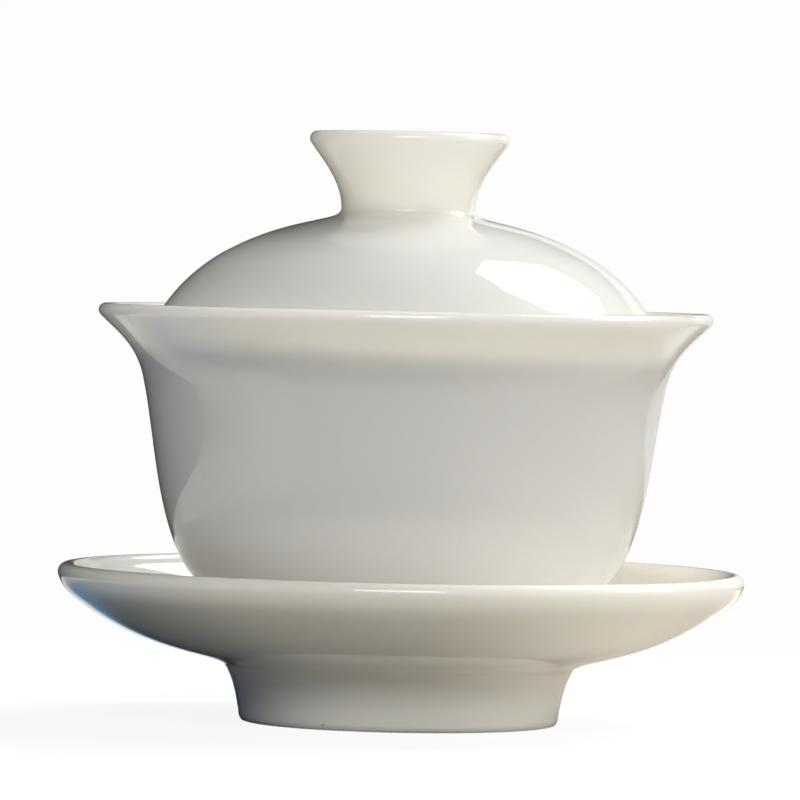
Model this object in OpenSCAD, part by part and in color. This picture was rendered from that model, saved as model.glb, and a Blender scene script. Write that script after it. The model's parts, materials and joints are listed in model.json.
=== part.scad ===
// Gaiwan: a lidded porcelain tea bowl on its saucer.
// Three turned pieces that only rest on each other: saucer, bowl and lid.
// Millimetres, +Z up. The origin is the centre of the saucer's foot ring, on the table.

/* [Bowl] */
// Diameter across the flared rim
bowl_d = 95; // [91:0.5:99]
// Height of the rim above the land of the foot ring
bowl_h = 52.85; // [51:0.05:55]
// Diameter of the waist, where the side turns out into the flare
waist_d = 80.8; // [79.8:0.1:81.8]
// Height of the waist below the rim
flare_h = 11.4; // [10.4:0.1:12.4]
// Diameter of the belly, where the side turns in towards the foot
belly_d = 68.6; // [66:0.1:71]
// Height of the belly above the land of the foot ring
belly_h = 14.1; // [13:0.1:15]
// Diameter of the foot ring
bowl_foot_d = 42.4; // [41:0.1:43.6]
// Height of the foot ring, up to where the belly leaves it
bowl_foot_h = 4.4; // [4:0.1:4.8]
// Thickness of the wall at the rim
bowl_rim_t = 2.1; // [1.8:0.1:2.3]
// Thickness of the wall at the base
bowl_base_t = 2.6; // [2.4:0.1:2.8]

/* [Saucer] */
// Diameter of the saucer
saucer_d = 106.1; // [104:0.1:110]
// Height of the saucer's rim above the table
saucer_h = 23.95; // [23:0.05:25]
// Thickness of the rounded rim
saucer_rim_t = 2.9; // [2.7:0.1:3.1]
// Thickness of the dish where it meets the foot
saucer_base_t = 3.3; // [3.1:0.1:3.5]
// Diameter of the foot, where the dish meets it
dish_foot_d = 56.8; // [55.8:0.1:57.8]
// Height of the dish above the table, where it meets the foot
dish_foot_h = 9.3; // [9:0.1:9.6]
// Diameter of the foot at the table
saucer_foot_d = 49.4; // [48.4:0.1:50.4]
// Diameter of the well that holds the bowl's foot
well_d = 47.6; // [47.2:0.1:48.2]
// Height of the well's floor above the table
well_h = 11.2; // [11:0.05:11.4]
// Thickness of the well's floor
well_floor_t = 2.7; // [2.4:0.1:3]

/* [Lid] */
// Depth of the lid's seat below the bowl's rim
seat_depth = 6.7; // [6.2:0.1:7.4]
// Gap between the lid's edge and the bowl's flare
seat_gap = 0.12; // [0.1:0.01:0.2]
// Thickness of the dome
dome_t = 2.2; // [2:0.1:2.4]
// Height from the bowl's rim to the foot of the neck
neck_rise = 14; // [13.5:0.1:14.5]
// Diameter of the neck
neck_d = 20.64; // [20:0.02:21.6]
// Diameter of the knob's rim
knob_d = 30.8; // [30:0.1:32]
// Height of the whole knob
knob_h = 13.2; // [12.6:0.05:14]
// Thickness of the knob's rim
knob_rim_t = 2.3; // [2:0.1:2.5]
// Depth of the recess in the knob
knob_recess = 11.4; // [10.6:0.1:11.8]

/* [Quality] */
// Facets in a full turn
facets = 180; // [90:10:360]
// Straight steps in each curve of an outline
steps = 10; // [8:1:16]

/* [Hidden] */
$fn = facets;
ivory = [0.90, 0.88, 0.82];
pale_ivory = [0.93, 0.915, 0.86];
warm_ivory = [0.91, 0.89, 0.835];

// Outlines are closed loops of [radius, height]. A loop is joined from stretches, and each
// stretch leaves out its last point, because the next stretch starts there.
// A knot is [radius, height, heading in degrees, handle before it, handle after it].

// The point that lies d beyond a knot, along its heading
function ahead(k, d) = [k[0] + d * cos(k[2]), k[1] + d * sin(k[2])];

// A point of the Bezier curve from knot a to knot b, with t running from 0 to 1
function bezier(a, b, t) =
    pow(1 - t, 3) * ahead(a, 0) + 3 * t * pow(1 - t, 2) * ahead(a, a[4])
    + 3 * t * t * (1 - t) * ahead(b, -b[3]) + pow(t, 3) * ahead(b, 0);

// The smooth stretch through a list of knots
function curve(knots) = [
    for (i = [0 : len(knots) - 2]) for (s = [0 : steps - 1])
        bezier(knots[i], knots[i + 1], s / steps)
];

// The stretch of a circle about c with radius r, from angle a0 to angle a1
function arc(c, r, a0, a1) = [
    for (s = [0 : steps - 1]) let (a = a0 + (a1 - a0) * s / steps) c + r * [cos(a), sin(a)]
];

// The way from the outside of a wall to its inside, where an outline runs down the wall
function inward(heading) = [sin(heading), -cos(heading)];

// The heading of an outline at its point i
function heading_at(path, i) =
    let (d = path[min(i + 1, len(path) - 1)] - path[max(i - 1, 0)]) atan2(d[1], d[0]);

// The inside of a wall: a path set back by t0 at its start, changing evenly to t1 at its end
function set_back(path, t0, t1) = let (n = len(path) - 1) [
    for (i = [0 : n]) path[i] + inward(heading_at(path, i)) * (t0 + (t1 - t0) * i / n)
];

// A path run the other way, without the point that it then ends on
function back_up(path) = [for (i = [len(path) - 1 : -1 : 1]) path[i]];

// The centre of a rounded rim of thickness t, from its outermost radius and its top
function rim_centre(r, h, t) = [r - t / 2, h - t / 2];

// The knot where a rounded rim about c runs on into the outside of the wall
function rim_knot(c, t, heading, handle) =
    let (p = c - inward(heading) * t / 2) [p[0], p[1], heading, 0, handle];

// The foot ring's land: round corners of radius r at z = h, from radius outer to radius inner
function land(outer, inner, h, r) = concat(
    arc([outer - r, h + r], r, 0, -90),
    [[outer - r, h]],
    arc([inner + r, h + r], r, -90, -180)
);

module turned(outline) rotate_extrude() polygon(outline);

// ---- Bowl ----
rim_z = well_h + bowl_h;
bowl_lip = rim_centre(bowl_d / 2, rim_z, bowl_rim_t);
bowl_foot_r = bowl_foot_d / 2;
belly_foot = [bowl_foot_r + 1.7, well_h + bowl_foot_h, -153, 5.2, 0.8];
bowl_side = [
    rim_knot(bowl_lip, bowl_rim_t, -136, 4.1),
    [waist_d / 2, rim_z - flare_h, -102.3, 5, 8.9],
    [belly_d / 2, well_h + belly_h, -115.7, 9, 5],
    belly_foot
];
bowl_outside = concat(curve(bowl_side), [ahead(belly_foot, 0)]);
bowl_inside = set_back(bowl_outside, bowl_rim_t, bowl_base_t);
bowl_floor_edge = bowl_inside[len(bowl_inside) - 1];
bowl_floor_z = bowl_floor_edge[1] - 0.75;

function bowl_outline() = let (
    corner = 0.5, ring_t = 2.9, ring_r = bowl_foot_r - ring_t,
    under_z = bowl_floor_z - bowl_base_t - 0.2
) concat(
    curve(bowl_side),
    curve([belly_foot, [bowl_foot_r, well_h + 2.6, -90, 0.9, 0]]),
    [[bowl_foot_r, well_h + 2.6]],
    land(bowl_foot_r, ring_r, well_h, corner),
    curve([[ring_r, well_h + corner, 90, 0, 1.2], [ring_r - 1.8, under_z, 180, 0.9, 5],
        [0, under_z + 0.2, 180, 5, 0]]),
    [[0, under_z + 0.2]],
    curve([[0, bowl_floor_z, 0, 0, 8],
        [bowl_floor_edge[0], bowl_floor_edge[1], 180 + belly_foot[2], 6, 0]]),
    back_up(bowl_inside),
    arc(bowl_lip, bowl_rim_t / 2, 134, -46)
);

// ---- Saucer ----
saucer_lip = rim_centre(saucer_d / 2, saucer_h, saucer_rim_t);
saucer_foot_r = saucer_foot_d / 2;
dish_foot = [dish_foot_d / 2, dish_foot_h, -160, 5, 0.9];
dish_side = [
    rim_knot(saucer_lip, saucer_rim_t, -110, 1.2),
    [saucer_d / 2 - 2.65, saucer_h - 5.3, -142, 2.2, 12],
    dish_foot
];
dish_outside = concat(curve(dish_side), [ahead(dish_foot, 0)]);
dish_inside = set_back(dish_outside, saucer_rim_t, saucer_base_t);
dish_floor_edge = dish_inside[len(dish_inside) - 1];

function saucer_outline() = let (
    corner = 1.1, ring_t = 3.6, ring_r = saucer_foot_r - ring_t,
    neck = [saucer_foot_r + 2.05, dish_foot_h - 1.2, -118, 0.9, 2.6],
    under_z = well_h - well_floor_t, well_r = well_d / 2
) concat(
    curve(dish_side),
    curve([dish_foot, neck, [saucer_foot_r, corner + 0.2, -100, 2.6, 0]]),
    [[saucer_foot_r, corner + 0.2]],
    land(saucer_foot_r, ring_r, 0, corner),
    curve([[ring_r, corner, 90, 0, 3], [ring_r - 1.4, under_z - 1.4, 100, 2, 0.8],
        [ring_r - 3, under_z, 180, 0.8, 0]]),
    [[ring_r - 3, under_z], [0, under_z], [0, well_h]],
    curve([[well_r - 0.5, well_h, 0, 0, 0.5], [well_r + 0.6, well_h + 0.85, 0, 0.5, 0.9],
        [dish_floor_edge[0], dish_floor_edge[1], 20, 0.9, 0]]),
    back_up(dish_inside),
    arc(saucer_lip, saucer_rim_t / 2, 160, -20)
);

// ---- Lid ----
knob_z = rim_z + neck_rise + knob_h;
neck_r = neck_d / 2;
knob_lip = rim_centre(knob_d / 2, knob_z, knob_rim_t);
// The lid's edge is round, and sits a gap away from the flare's inside at the seat
edge_r = dome_t / 2 - 0.05;
seat_i = [for (i = [0 : len(bowl_inside) - 1]) if (bowl_inside[i][1] > rim_z - seat_depth) i];
seat = seat_i[len(seat_i) - 1];
edge = bowl_inside[seat] + inward(heading_at(bowl_inside, seat)) * (edge_r + seat_gap);
edge_heading = -77;
dome_side = [
    [neck_r + 1.6, rim_z + neck_rise, -15, 0.7, 4.5],
    [28, rim_z + neck_rise - 5.55, -28.7, 8, 4.6],
    [edge[0] - inward(edge_heading)[0] * edge_r, edge[1] - inward(edge_heading)[1] * edge_r,
        edge_heading, 7, 0]
];
dome_outside = concat(curve(dome_side), [ahead(dome_side[2], 0)]);
dome_inside = set_back(dome_outside, dome_t + 0.1, 2 * edge_r);
dome_top = dome_inside[0];

function lid_outline() = let (
    recess_z = knob_z - knob_recess,
    wall_in = inward(-125.4) * knob_rim_t / 2,
    mouth = [knob_lip[0] + wall_in[0], knob_lip[1] + wall_in[1], 54.6, 3.6, 0],
    bore_r = neck_r - 2.4
) concat(
    curve([rim_knot(knob_lip, knob_rim_t, -125.4, 3.6),
        [neck_r, rim_z + neck_rise + 1.35, -90, 3.9, 0.8], dome_side[0]]),
    curve(dome_side),
    arc(edge, edge_r, edge_heading + 90, edge_heading - 90),
    back_up(dome_inside),
    curve([[dome_top[0], dome_top[1], 164, 0, 3.5], [0, dome_top[1] + 1.2, 180, 5, 0]]),
    [[0, dome_top[1] + 1.2]],
    curve([[0, recess_z, 0, 0, 3], [bore_r - 1.6, recess_z + 0.15, 8, 2, 0.9],
        [bore_r, recess_z + 1.8, 86, 0.9, 3.4], mouth]),
    arc(knob_lip, knob_rim_t / 2, 144.6, -35.4)
);

module saucer() { color(warm_ivory) turned(saucer_outline()); }
module bowl() { color(ivory) turned(bowl_outline()); }
module lid() { color(pale_ivory) turned(lid_outline()); }

saucer();
bowl();
lid();
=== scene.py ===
"""Gaiwan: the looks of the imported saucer, bowl and lid. Metres, +Z up, the same frame as the CAD.

Each piece is turned again, finely, on the outline of its own CAD node, so it has that node's
size and place. On top of that come what a potter and a kiln leave: a slight ovality, throwing
ripples, the glaze's rolled edge above the bare foot ring, pooled and thinned glaze, and specks.
"""
import json
import math

import bmesh
import bpy
import numpy as np
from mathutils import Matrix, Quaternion, Vector


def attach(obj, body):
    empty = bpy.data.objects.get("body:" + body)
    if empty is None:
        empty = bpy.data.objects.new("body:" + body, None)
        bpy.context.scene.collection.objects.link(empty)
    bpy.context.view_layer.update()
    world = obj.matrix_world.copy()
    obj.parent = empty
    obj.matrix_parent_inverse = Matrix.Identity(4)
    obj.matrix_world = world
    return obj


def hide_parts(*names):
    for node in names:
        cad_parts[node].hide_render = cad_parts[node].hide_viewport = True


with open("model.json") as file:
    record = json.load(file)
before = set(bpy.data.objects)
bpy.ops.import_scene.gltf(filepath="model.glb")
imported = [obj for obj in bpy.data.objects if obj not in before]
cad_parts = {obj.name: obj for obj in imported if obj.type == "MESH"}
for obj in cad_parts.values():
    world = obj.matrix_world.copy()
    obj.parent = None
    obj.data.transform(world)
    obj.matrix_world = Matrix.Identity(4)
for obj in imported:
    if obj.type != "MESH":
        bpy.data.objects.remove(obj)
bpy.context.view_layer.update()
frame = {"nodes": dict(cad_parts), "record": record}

MM = 0.001
SEGMENTS = 256  # steps round a turned piece
FINE = 0.1 * MM  # spacing of the points that an outline is worked on at


# ---- Outlines ----------------------------------------------------------------------------
def seam_outline(node):
    """The CAD node's outline in the plane y = 0, from its lowest point on the axis to its
    highest, as rows of radius and height. Its mesh has a seam of vertices in that plane."""
    mesh = frame["nodes"][node].data
    places = np.array([v.co for v in mesh.vertices])
    in_plane = (abs(places[:, 1]) < 1e-7) & (places[:, 0] > -1e-9)
    number = {}  # of each distinct place
    place_of = {}
    for i in np.nonzero(in_plane)[0]:
        spot = (round(places[i, 0] * 1e6), round(places[i, 2] * 1e6))
        place_of[int(i)] = number.setdefault(spot, len(number))
    spots = np.array(list(number), float) * 1e-6
    links = [set() for _ in spots]
    for edge in mesh.edges:
        a, b = (place_of.get(v) for v in edge.vertices)
        if a is not None and b is not None and a != b:
            links[a].add(b)
            links[b].add(a)
    ends = [k for k in range(len(spots)) if len(links[k]) == 1]
    ends.sort(key=lambda k: spots[k, 1])
    path = [ends[0]]
    while path[-1] != ends[-1]:
        path += [k for k in links[path[-1]] if k not in path[-2:]]
    outline = spots[path]
    # A flat disc has no vertex on the axis, so both ends are run in to it
    outline = np.vstack([outline[0] * [0, 1], outline, outline[-1] * [0, 1]])
    apart = np.hypot(*np.diff(outline, axis=0).T) > 1e-7
    return outline[np.concatenate([[True], apart])]


def run_of(path):
    """The distance run along a path at each of its points."""
    return np.concatenate([[0], np.cumsum(np.hypot(*np.diff(path, axis=0).T))])


def outward(path):
    """The unit normal out of the clay at each point of an outline."""
    way = np.gradient(path, axis=0)
    way /= np.hypot(*way.T)[:, None] + 1e-12
    return np.column_stack([way[:, 1], -way[:, 0]])


def bend_of(path):
    """The curvature of an evenly spaced outline, per metre: positive where the clay bulges."""
    way = np.gradient(path, FINE, axis=0)
    turn = np.gradient(way, FINE, axis=0)
    return way[:, 0] * turn[:, 1] - way[:, 1] * turn[:, 0]


def blurred(values, width, reflect_type="odd"):
    """Values along an outline, averaged over about that width. reflect_type says how they go on
    past its ends: "odd" changes their sign about the end value, "even" mirrors them."""
    half = int(3 * width / FINE)
    weights = np.exp(-0.5 * (np.arange(-half, half + 1) * FINE / width) ** 2)
    padded = np.pad(values, half, mode="reflect", reflect_type=reflect_type)
    return np.convolve(padded, weights / weights.sum(), mode="valid")


def smoothed(path, width):
    """The path with waves shorter than a few widths gone, and its longer bends kept."""
    smooth = np.zeros_like(path)
    for _ in range(3):  # each pass puts back what the blur took from the bends
        # Over the axis, at either end, the radius changes sign and the height does not
        for k, over_axis in ((0, "odd"), (1, "even")):
            smooth[:, k] += blurred(path[:, k] - smooth[:, k], width, over_axis)
    return smooth


def eased(outline):
    """The outline at even fine spacing, with the joins between its arcs and curves eased, so
    that a reflection runs over them without a kink. Tight rounds keep their shape."""
    run = run_of(outline)
    at = np.linspace(0, run[-1], int(round(run[-1] / FINE)) + 1)
    path = np.column_stack([np.interp(at, run, outline[:, k]) for k in (0, 1)])
    crisp = smoothed(path, 0.15 * MM)
    tight = np.clip(abs(bend_of(crisp)) * 4 * MM - 1, 0, 1)  # full from a radius of 2 mm down
    reach = int(1.5 * MM / FINE)
    near = np.array([tight[max(i - reach, 0):i + reach + 1].max() for i in range(len(at))])
    near = np.clip(blurred(near, 0.5 * MM), 0, 1)[:, None]
    return crisp * near + smoothed(path, 1.1 * MM) * (1 - near)


def ring_places(path, longest=0.66 * MM):
    """Which fine points become rings of the mesh: close together where the outline bends."""
    radius = 1 / (abs(blurred(bend_of(path), 0.2 * MM)) + 1)
    step = np.clip(0.13 * radius, FINE, longest)
    count = np.cumsum(FINE / step)
    rings = np.unique(np.searchsorted(count, np.arange(0, count[-1], 1.0)))
    return np.unique(np.concatenate([[0], rings, [len(path) - 1]]))


# ---- Turned pieces -----------------------------------------------------------------------
GLAZE_STOPS = 0.55 * MM  # this far along the clay from the land of a foot ring
ROLLED_EDGE = 0.06 * MM  # how proud the glaze's rolled edge stands there
RIPPLE = 0.001 * MM  # the height of each of the three ripples that throwing leaves


def smoothstep(low, high, value):
    t = np.clip((value - low) / (high - low), 0, 1)
    return t * t * (3 - 2 * t)


def waves(angle, size, lobes, rng):
    """A slow unevenness round a piece: a few lobes of about that size, in metres."""
    total = np.zeros_like(angle)
    for n in lobes:
        total += rng.uniform(0.4, 1) * np.cos(n * angle + rng.uniform(0, 2 * math.pi)) / n
    return size * total


def turned(name, node, body, material, land, warp, seed):
    """A piece turned on a CAD node's outline. land is the (inner, outer) radius that its bare
    foot ring lies between, or None; warp is how far its rim strays from round, in metres."""
    rng = np.random.default_rng(seed)
    path = eased(seam_outline(node))
    rings = ring_places(path)
    normal = outward(path)
    low, high = path[:, 1].min(), path[:, 1].max()
    bulge = blurred(bend_of(path), 0.5 * MM) * MM  # per millimetre
    angle = np.arange(SEGMENTS) * 2 * math.pi / SEGMENTS

    spots = path[rings]
    height = (spots[:, 1] - low) / (high - low)
    along = run_of(path)[rings]
    radius = np.repeat(spots[:, :1], SEGMENTS, axis=1)
    level = np.repeat(spots[:, 1:], SEGMENTS, axis=1)
    # Drying and firing: the rim goes a little oval and dips a little
    rise = (height ** 2)[:, None] * spots[:, :1] / spots[:, 0].max()
    radius += warp * rise * waves(angle, 1, (2, 3), rng)[None]
    level += 0.6 * warp * rise * waves(angle, 1, (2, 3, 5), rng)[None]

    # Glaze: a rolled edge round the bare land of the foot ring, and faint ripples all over
    bare = np.zeros_like(radius)
    proud = np.zeros_like(radius)
    if land:
        inner, outer = land
        middle = (inner + outer) / 2
        off_land = abs(spots[:, 0] - middle) - (outer - inner) / 2
        near_foot = (spots[:, 1] < low + 6 * MM) & (off_land < 1.5 * MM)
        up = np.where(near_foot, np.maximum(off_land, 0) + (spots[:, 1] - low), 1)[:, None]
        edge = GLAZE_STOPS + waves(angle, 0.1 * MM, (3, 5, 8, 13, 21), rng)[None]
        bare = 1 - smoothstep(-0.07 * MM, 0.07 * MM, up - edge)
        proud = ROLLED_EDGE * np.exp(-((up - edge - 0.3 * MM) / (0.26 * MM)) ** 2) * (1 - bare)
    phase = rng.uniform(0, 2 * math.pi, 3)
    ripple = sum(np.sin(along / (w * MM) + p) for w, p in zip((0.5, 0.83, 1.3), phase))
    calm = smoothstep(2 * MM, 6 * MM, np.minimum(along, along[-1] - along))
    proud = proud + RIPPLE * (ripple * calm)[:, None] * (1 - bare)
    radius += proud * normal[rings, :1]
    level += proud * normal[rings, 1:]
    radius[[0, -1]] = 0

    verts = np.stack([radius * np.cos(angle), radius * np.sin(angle), level], axis=-1)
    verts = np.vstack([verts[0, :1], verts[1:-1].reshape(-1, 3), verts[-1, :1]])
    count = len(rings) - 2
    grid = 1 + np.arange(count * SEGMENTS).reshape(count, SEGMENTS)
    beside = np.roll(grid, -1, axis=1)
    quads = np.stack([grid[:-1], beside[:-1], beside[1:], grid[1:]], axis=-1).reshape(-1, 4)
    top = len(verts) - 1
    fans = [(0, b, a) for a, b in zip(grid[0], beside[0])]
    fans += [(top, a, b) for a, b in zip(grid[-1], beside[-1])]
    mesh = bpy.data.meshes.new(name)
    mesh.from_pydata(verts.tolist(), [], [tuple(q) for q in quads.tolist()] + fans)
    mesh.polygons.foreach_set("use_smooth", [True] * len(mesh.polygons))

    def attribute(label, values):
        values = np.concatenate([values[0, :1], values[1:-1].ravel(), values[-1, :1]])
        layer = mesh.attributes.new(label, "FLOAT", "POINT")
        layer.data.foreach_set("value", values.astype(np.float32))

    around = np.ones((1, SEGMENTS))
    attribute("bare", bare * around)
    attribute("thin", smoothstep(0.12, 0.9, bulge[rings])[:, None] * around)
    attribute("pool", smoothstep(0.05, 0.5, -bulge[rings])[:, None] * around)
    mesh.materials.append(material)
    piece = bpy.data.objects.new(name, mesh)
    bpy.context.scene.collection.objects.link(piece)
    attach(piece, body)
    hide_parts(node)
    return piece


# ---- Materials ---------------------------------------------------------------------------
class Nodes:
    """A small helper that builds a material's node tree."""

    def __init__(self, name):
        self.material = bpy.data.materials.new(name)
        self.material.use_nodes = True
        self.tree = self.material.node_tree
        self.shader = self.tree.nodes["Principled BSDF"]
        self.total = None

    def add(self, kind, links=None, **settings):
        node = self.tree.nodes.new(kind)
        for key, value in settings.items():
            setattr(node, key, value)
        for socket, value in (links or {}).items():
            self.put(node.inputs[socket], value)
        return node

    def put(self, socket, value):
        if isinstance(value, bpy.types.NodeSocket):
            self.tree.links.new(value, socket)
        else:
            socket.default_value = value

    def math(self, operation, *values, clamp=False):
        node = self.add("ShaderNodeMath", operation=operation, use_clamp=clamp)
        for k, value in enumerate(values):
            self.put(node.inputs[k], value)
        return node.outputs[0]

    def mix(self, factor, a, b):
        node = self.add("ShaderNodeMix", data_type="RGBA")
        self.put(node.inputs["Factor"], factor)
        colours = [s for s in node.inputs if s.type == "RGBA"]
        for socket, value in zip(colours, (a, b)):
            self.put(socket, value)
        return next(s for s in node.outputs if s.type == "RGBA")

    def noise(self, where, scale, detail=2.0):
        return self.add("ShaderNodeTexNoise", {"Vector": where, "Scale": scale, "Detail": detail})

    def light(self, mask, colour, strength):
        """Adds a light of that colour and strength where the mask is 1."""
        node = self.add("ShaderNodeVectorMath", {0: mask, 1: [c * strength for c in colour]},
                        operation="MULTIPLY_ADD")
        self.put(node.inputs[2], self.total or (0, 0, 0))
        self.total = node.outputs[0]

    def spread(self, value, low, high, to_low=0.0, to_high=1.0):
        """The value stretched from (low, high) to (to_low, to_high), with smooth ends."""
        node = self.add("ShaderNodeMapRange", interpolation_type="SMOOTHSTEP")
        for k, v in enumerate((value, low, high, to_low, to_high)):
            self.put(node.inputs[k], v)
        return node.outputs[0]


IVORY = (0.955, 0.928, 0.87, 1)
IVORY_COOL = (0.95, 0.93, 0.882, 1)
THIN_GLAZE = (0.96, 0.94, 0.895, 1)
POOLED_GLAZE = (0.95, 0.93, 0.875, 1)
BARE_CLAY = (0.80, 0.76, 0.69, 1)
BARE_CLAY_WORN = (0.66, 0.60, 0.51, 1)
IRON = (0.16, 0.07, 0.03, 1)


def porcelain(name, offset, depth, specks=()):
    """Ivory porcelain under a clear glaze. offset moves the patterns, so that no two pieces
    match; depth is how far light goes into the clay; specks are (place, radius) of single iron
    specks."""
    n = Nodes(name)
    place = n.add("ShaderNodeTexCoord").outputs["Object"]
    moved = n.add("ShaderNodeVectorMath", {0: place, 1: offset}, operation="ADD").outputs[0]
    bare = n.add("ShaderNodeAttribute", attribute_name="bare").outputs["Fac"]
    thin = n.add("ShaderNodeAttribute", attribute_name="thin").outputs["Fac"]
    pool = n.add("ShaderNodeAttribute", attribute_name="pool").outputs["Fac"]

    clouds = n.noise(moved, 28, 3).outputs["Fac"]
    colour = n.mix(n.spread(clouds, 0.35, 0.65), IVORY, IVORY_COOL)
    colour = n.mix(n.math("MULTIPLY", thin, 0.6), colour, THIN_GLAZE)
    colour = n.mix(n.math("MULTIPLY", pool, 0.7), colour, POOLED_GLAZE)

    # Specks: rare, under half a millimetre, each in its own cell of a coarse grid
    cells = n.add("ShaderNodeTexVoronoi", {"Vector": moved, "Scale": 75}, feature="F1")
    size = n.spread(n.add("ShaderNodeSeparateColor", {0: cells.outputs["Color"]}).outputs[0],
                    0.78, 1.0, 0.0, 0.016)
    speck = n.spread(n.math("SUBTRACT", size, cells.outputs["Distance"]), -0.001, 0.006)
    for spot, radius in specks:
        gap = n.add("ShaderNodeVectorMath", {0: place, 1: spot}, operation="DISTANCE")
        single = n.spread(gap.outputs["Value"], radius * 0.5, radius * 1.3, 1.0, 0.0)
        speck = n.math("MAXIMUM", speck, single)
    colour = n.mix(n.math("MULTIPLY", speck, 0.75), colour, IRON)

    grit = n.noise(moved, 2600, 4).outputs["Fac"]
    wear = n.spread(n.noise(moved, 140, 4).outputs["Fac"], 0.42, 0.7)
    clay = n.mix(n.math("MULTIPLY", wear, 0.7), BARE_CLAY, BARE_CLAY_WORN)
    colour = n.mix(bare, colour, clay)
    n.put(n.shader.inputs["Base Color"], colour)

    gloss = n.spread(n.noise(moved, 60, 3).outputs["Fac"], 0.3, 0.7, 0.008, 0.02)
    rough = n.add("ShaderNodeMix", {0: bare, 2: gloss, 3: 0.72}, data_type="FLOAT").outputs[0]
    n.put(n.shader.inputs["Roughness"], rough)

    # The glaze's faint orange peel, and the grain of the bare clay
    peel = n.math("MULTIPLY", n.noise(moved, 420, 1).outputs["Fac"], 0.006)
    grain = n.math("MULTIPLY", grit, bare)
    bump = n.add("ShaderNodeBump", {"Strength": 1.0, "Distance": 0.00012,
                                    "Height": n.math("ADD", peel, n.math("MULTIPLY", grain, 0.5))})
    n.put(n.shader.inputs["Normal"], bump.outputs[0])
    n.shader.inputs["IOR"].default_value = 1.52
    n.shader.inputs["Subsurface Weight"].default_value = 1.0
    n.shader.inputs["Subsurface Radius"].default_value = (1.0, 0.92, 0.80)
    n.shader.inputs["Subsurface Scale"].default_value = depth
    return n.material


# ---- The three pieces --------------------------------------------------------------------
foot_mount = frame["record"]["mounts"][0]["pos_m"]  # in the middle of the land, at one side
SAUCER_LAND = (foot_mount[0] - 0.7 * MM, foot_mount[0] + 0.7 * MM)
BOWL_LAND = (18.8 * MM, 20.7 * MM)
FOOT_SPECK = ((-11.5 * MM, -22.1 * MM, 0.8 * MM), 0.36 * MM)  # on the front of the saucer's foot

turned("saucer_porcelain", "saucer", "saucer",
       porcelain("saucer_glaze", (0.31, 0.12, 0.05), 3.0 * MM, [FOOT_SPECK]),
       SAUCER_LAND, 0.08 * MM, seed=11)
turned("bowl_porcelain", "bowl", "bowl",
       porcelain("bowl_glaze", (0.07, 0.42, 0.23), 6.0 * MM), BOWL_LAND, 0.05 * MM, seed=23)
turned("lid_porcelain", "lid", "lid",
       porcelain("lid_glaze", (0.55, 0.2, 0.41), 4.2 * MM), None, 0.02 * MM, seed=37)


# ---- Studio ------------------------------------------------------------------------------
def towards(azimuth, elevation):
    """A direction in degrees: azimuth 0 is the camera's side, 90 the right, 180 behind."""
    a, e = math.radians(azimuth), math.radians(elevation)
    return Vector((math.sin(a) * math.cos(e), -math.cos(a) * math.cos(e), math.sin(e)))


class Surroundings(Nodes):
    """The studio round the object, painted on the world by direction: soft glows, and panels
    with an edge that the glaze mirrors."""

    def __init__(self, name):
        self.world = bpy.data.worlds.new(name)
        self.world.use_nodes = True
        self.tree = self.world.node_tree
        self.total = None
        way = self.add("ShaderNodeTexCoord").outputs["Generated"]
        self.way = self.add("ShaderNodeVectorMath", {0: way}, operation="NORMALIZE").outputs[0]

    def along(self, axis):
        node = self.add("ShaderNodeVectorMath", {0: self.way, 1: tuple(axis)}, operation="DOT_PRODUCT")
        return node.outputs["Value"]

    def glow(self, azimuth, elevation, reach, colour, strength):
        """A glow that fades out at reach degrees from its middle."""
        facing = self.along(towards(azimuth, elevation))
        self.light(self.spread(facing, math.cos(math.radians(reach)), 1.0), colour, strength)

    def panel(self, azimuth, elevation, wide, high, colour, strength, spin=0, soft=0.02, cut=False):
        """A panel, wide by high degrees from its middle to its edges, turned by spin degrees.
        soft is the part of its half width that the edge fades over; cut takes its corners off."""
        middle = towards(azimuth, elevation)
        across = middle.cross((0, 0, 1)).normalized()
        up = across.cross(middle)
        turn = Quaternion(middle, math.radians(spin))
        ahead = self.math("MAXIMUM", self.along(middle), 0.01)
        offsets = []
        for axis, half in ((turn @ across, wide), (turn @ up, high)):
            aside = self.math("DIVIDE", self.math("ABSOLUTE", self.along(axis)), ahead)
            offsets.append(self.math("DIVIDE", aside, math.tan(math.radians(half))))
        edge = self.math("MAXIMUM", *offsets)
        if cut:
            corner = self.math("MULTIPLY", self.math("ADD", *offsets), math.sqrt(0.5))
            edge = self.math("MAXIMUM", edge, corner)
        self.light(self.spread(edge, 1 - soft, 1 + soft, 1.0, 0.0), colour, strength)

    def finish(self):
        shade = self.tree.nodes["Background"]
        self.put(shade.inputs["Color"], self.total)
        shade.inputs["Strength"].default_value = 1.0
        bpy.context.scene.world = self.world


NEUTRAL = (1.0, 0.99, 0.95)
CREAM = (1.0, 0.96, 0.88)
WARM = (1.0, 0.91, 0.78)
COOL = (0.88, 0.96, 1.02)
BLUE = (0.2, 0.6, 1.1)

studio = Surroundings("studio_light")
# An eight-sided softbox behind on the right, an oblong one over the camera, a smaller one on the
# right, and a white wall low behind
studio.panel(128, 49.5, 17.2, 17.2, NEUTRAL, 7.5, spin=9.5, cut=True)
studio.panel(0, 28, 14, 8, CREAM, 9.8, soft=0.1)
studio.panel(93, 25, 13, 7.5, WARM, 5.0, soft=0.1)
studio.panel(157, 4, 20, 14, NEUTRAL, 0.75, soft=0.08)
# What the room gives back from each side
studio.glow(130, 45, 50, NEUTRAL, 0.45)
studio.glow(75, 12, 45, NEUTRAL, 0.6)
studio.glow(10, 5, 50, COOL, 0.36)
studio.glow(-70, 5, 40, NEUTRAL, 0.24)
studio.glow(-60, 40, 45, NEUTRAL, 0.15)
studio.finish()


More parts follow.
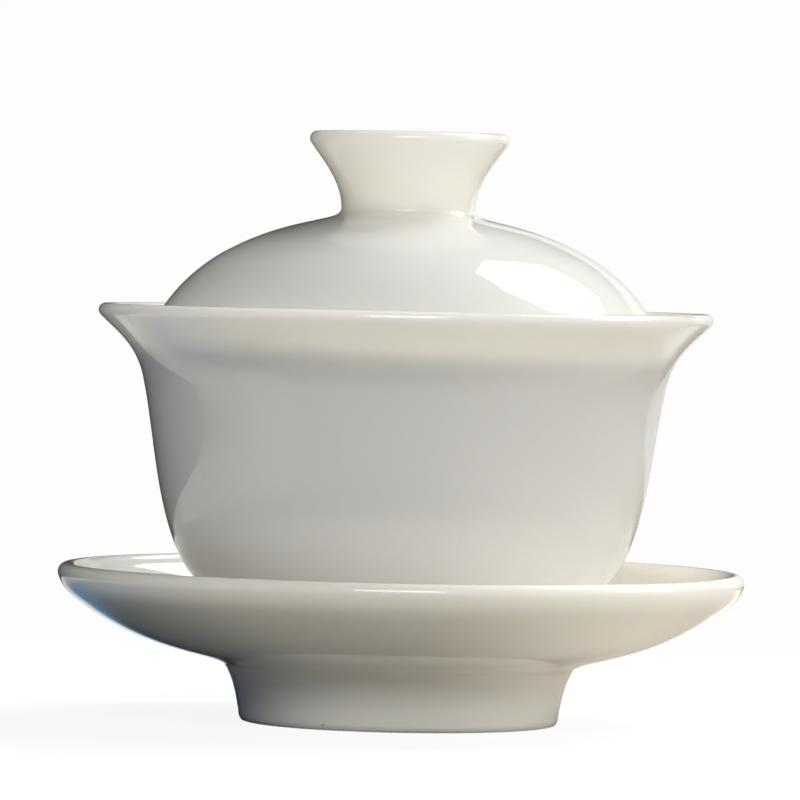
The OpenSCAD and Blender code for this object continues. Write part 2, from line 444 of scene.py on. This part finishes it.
def painted_table_light(name):
    """The table top as the porcelain sees it: a glow of painted light that stands in for the light
    the table gives back, warm in front and to the right and blue near the object's left, with a
    painted shadow, dark, close round the object. Each row is a sector and a ring of light on it: the
    sector's middle and how narrow it is, where the ring fades in and out in millimetres, and its
    colour and strength."""
    n = Nodes(name)
    place = n.add("ShaderNodeTexCoord").outputs["Object"]
    away = n.add("ShaderNodeVectorMath", {0: place}, operation="LENGTH").outputs["Value"]
    way = n.add("ShaderNodeVectorMath", {0: place}, operation="NORMALIZE").outputs[0]
    for azimuth, narrow, near, far, colour, strength in (
            (95, -0.1, (15, 45), (120, 180), WARM, 0.56),
            (125, 0.5, (60, 90), (130, 200), NEUTRAL, 0.25),
            (110, 0.1, (120, 180), (900, 999), WARM, 0.37),
            (0, 0.2, (120, 160), (900, 999), WARM, 0.56),
            (20, 0.0, (15, 30), (80, 110), WARM, 0.19),
            (180, 0.6, (45, 80), (150, 260), NEUTRAL, 0.95),
            (-90, 0.6, (95, 140), (190, 260), NEUTRAL, 0.8),
            (-120, 0.4, (50, 75), (95, 130), BLUE, 0.35),
            (-60, 0.2, (15, 30), (50, 62), BLUE, 0.03)):
        facing = n.add("ShaderNodeVectorMath", {0: way, 1: tuple(towards(azimuth, 0))},
                       operation="DOT_PRODUCT").outputs["Value"]
        side = n.spread(facing, narrow, 0.9)
        ring = n.math("MULTIPLY", n.spread(away, near[0] * MM, near[1] * MM),
                      n.spread(away, far[0] * MM, far[1] * MM, 1.0, 0.0))
        n.light(n.math("MULTIPLY", side, ring), colour, strength)
    n.put(n.shader.inputs["Base Color"], (0, 0, 0, 1))
    # The table top's painted light and painted shadow are its emission
    n.put(n.shader.inputs["Emission Color"], n.total)
    n.shader.inputs["Emission Strength"].default_value = 1.0
    n.shader.inputs["Roughness"].default_value = 1.0
    n.shader.inputs["Specular IOR Level"].default_value = 0.0
    n.material.cycles.emission_sampling = "NONE"
    return n.material


# ---- Floor and backdrop ------------------------------------------------------------------
PAPER_WHITE = 0.985  # of the paper as the camera sees it, in linear light
LIGHT_ON_FLOOR = 0.75  # of a fully white floor in the open, in linear light


def paper(name, matt):
    """Pale paper of one even white. Near the object a share of that white is light that falls
    on it, so that the object throws a soft shadow there; matt is the paper's albedo for it."""
    n = Nodes(name)
    place = n.add("ShaderNodeTexCoord").outputs["Object"]
    away = n.add("ShaderNodeVectorMath", {0: place}, operation="LENGTH").outputs["Value"]
    far = n.spread(away, 90 * MM, 300 * MM)
    lit = PAPER_WHITE - matt * LIGHT_ON_FLOOR
    n.put(n.shader.inputs["Base Color"], n.mix(far, (matt, matt, matt, 1), (0, 0, 0, 1)))
    n.put(n.shader.inputs["Emission Color"],
          n.mix(far, (lit, lit, lit, 1), (PAPER_WHITE, PAPER_WHITE, PAPER_WHITE, 1)))
    n.shader.inputs["Emission Strength"].default_value = 1.0
    n.shader.inputs["Roughness"].default_value = 1.0
    n.shader.inputs["Specular IOR Level"].default_value = 0.0
    return n.material


def set_piece(name, shape, material, seen):
    """A piece of the set. Either the camera alone sees it, or everything but the camera."""
    mesh = bpy.data.meshes.new(name)
    shape.to_mesh(mesh)
    shape.free()
    mesh.materials.append(material)
    piece = bpy.data.objects.new(name, mesh)
    piece.visible_camera = seen
    piece.visible_diffuse = piece.visible_glossy = piece.visible_transmission = not seen
    piece.visible_volume_scatter = piece.visible_shadow = False
    bpy.context.scene.collection.objects.link(piece)
    return piece


round_floor = bmesh.new()
bmesh.ops.create_circle(round_floor, cap_ends=True, segments=96, radius=0.6)
set_piece("floor", round_floor, paper("floor_paper", 0.12), True).location.z = -0.02 * MM
dome = bmesh.new()
bmesh.ops.create_icosphere(dome, subdivisions=4, radius=4.0)
set_piece("backdrop", dome, paper("backdrop_paper", 0.0), True)
# The table top, seen by the porcelain alone, glows with painted light and shows a painted shadow of
# the object; it ends 0.2 m to the left and runs on to the right
board = bmesh.new()
askew = Quaternion((0, 0, 1), math.radians(-40))
for across, along in ((-195, -400), (400, -400), (400, 400), (-195, 400)):
    board.verts.new(askew @ Vector((across * MM, along * MM, 0)))
board.faces.new(board.verts)
board = set_piece("table_top", board, painted_table_light("painted_table_light"), False)
board.location.z = -0.03 * MM

# ---- Camera ------------------------------------------------------------------------------
AXIS_LEFT = -0.69 * MM  # the camera stands this far left of the axis
EYE_HEIGHT = 74.2 * MM
DISTANCE = 1.126
AIM_HEIGHT = 49.9 * MM
ROLL = math.radians(1.15)


def add_camera():
    data = bpy.data.cameras.new("camera")
    data.lens, data.sensor_width = 328, 36
    data.clip_start, data.clip_end = 0.05, 50
    camera = bpy.data.objects.new("camera", data)
    camera.location = (AXIS_LEFT, -DISTANCE, EYE_HEIGHT)
    sight = Vector((AXIS_LEFT, 0, AIM_HEIGHT)) - camera.location
    camera.rotation_mode = "QUATERNION"
    camera.rotation_quaternion = sight.to_track_quat("-Z", "Y") @ Quaternion((0, 0, 1), ROLL)
    bpy.context.scene.collection.objects.link(camera)
    bpy.context.scene.camera = camera


add_camera()
bpy.context.scene.view_settings.view_transform = "Standard"
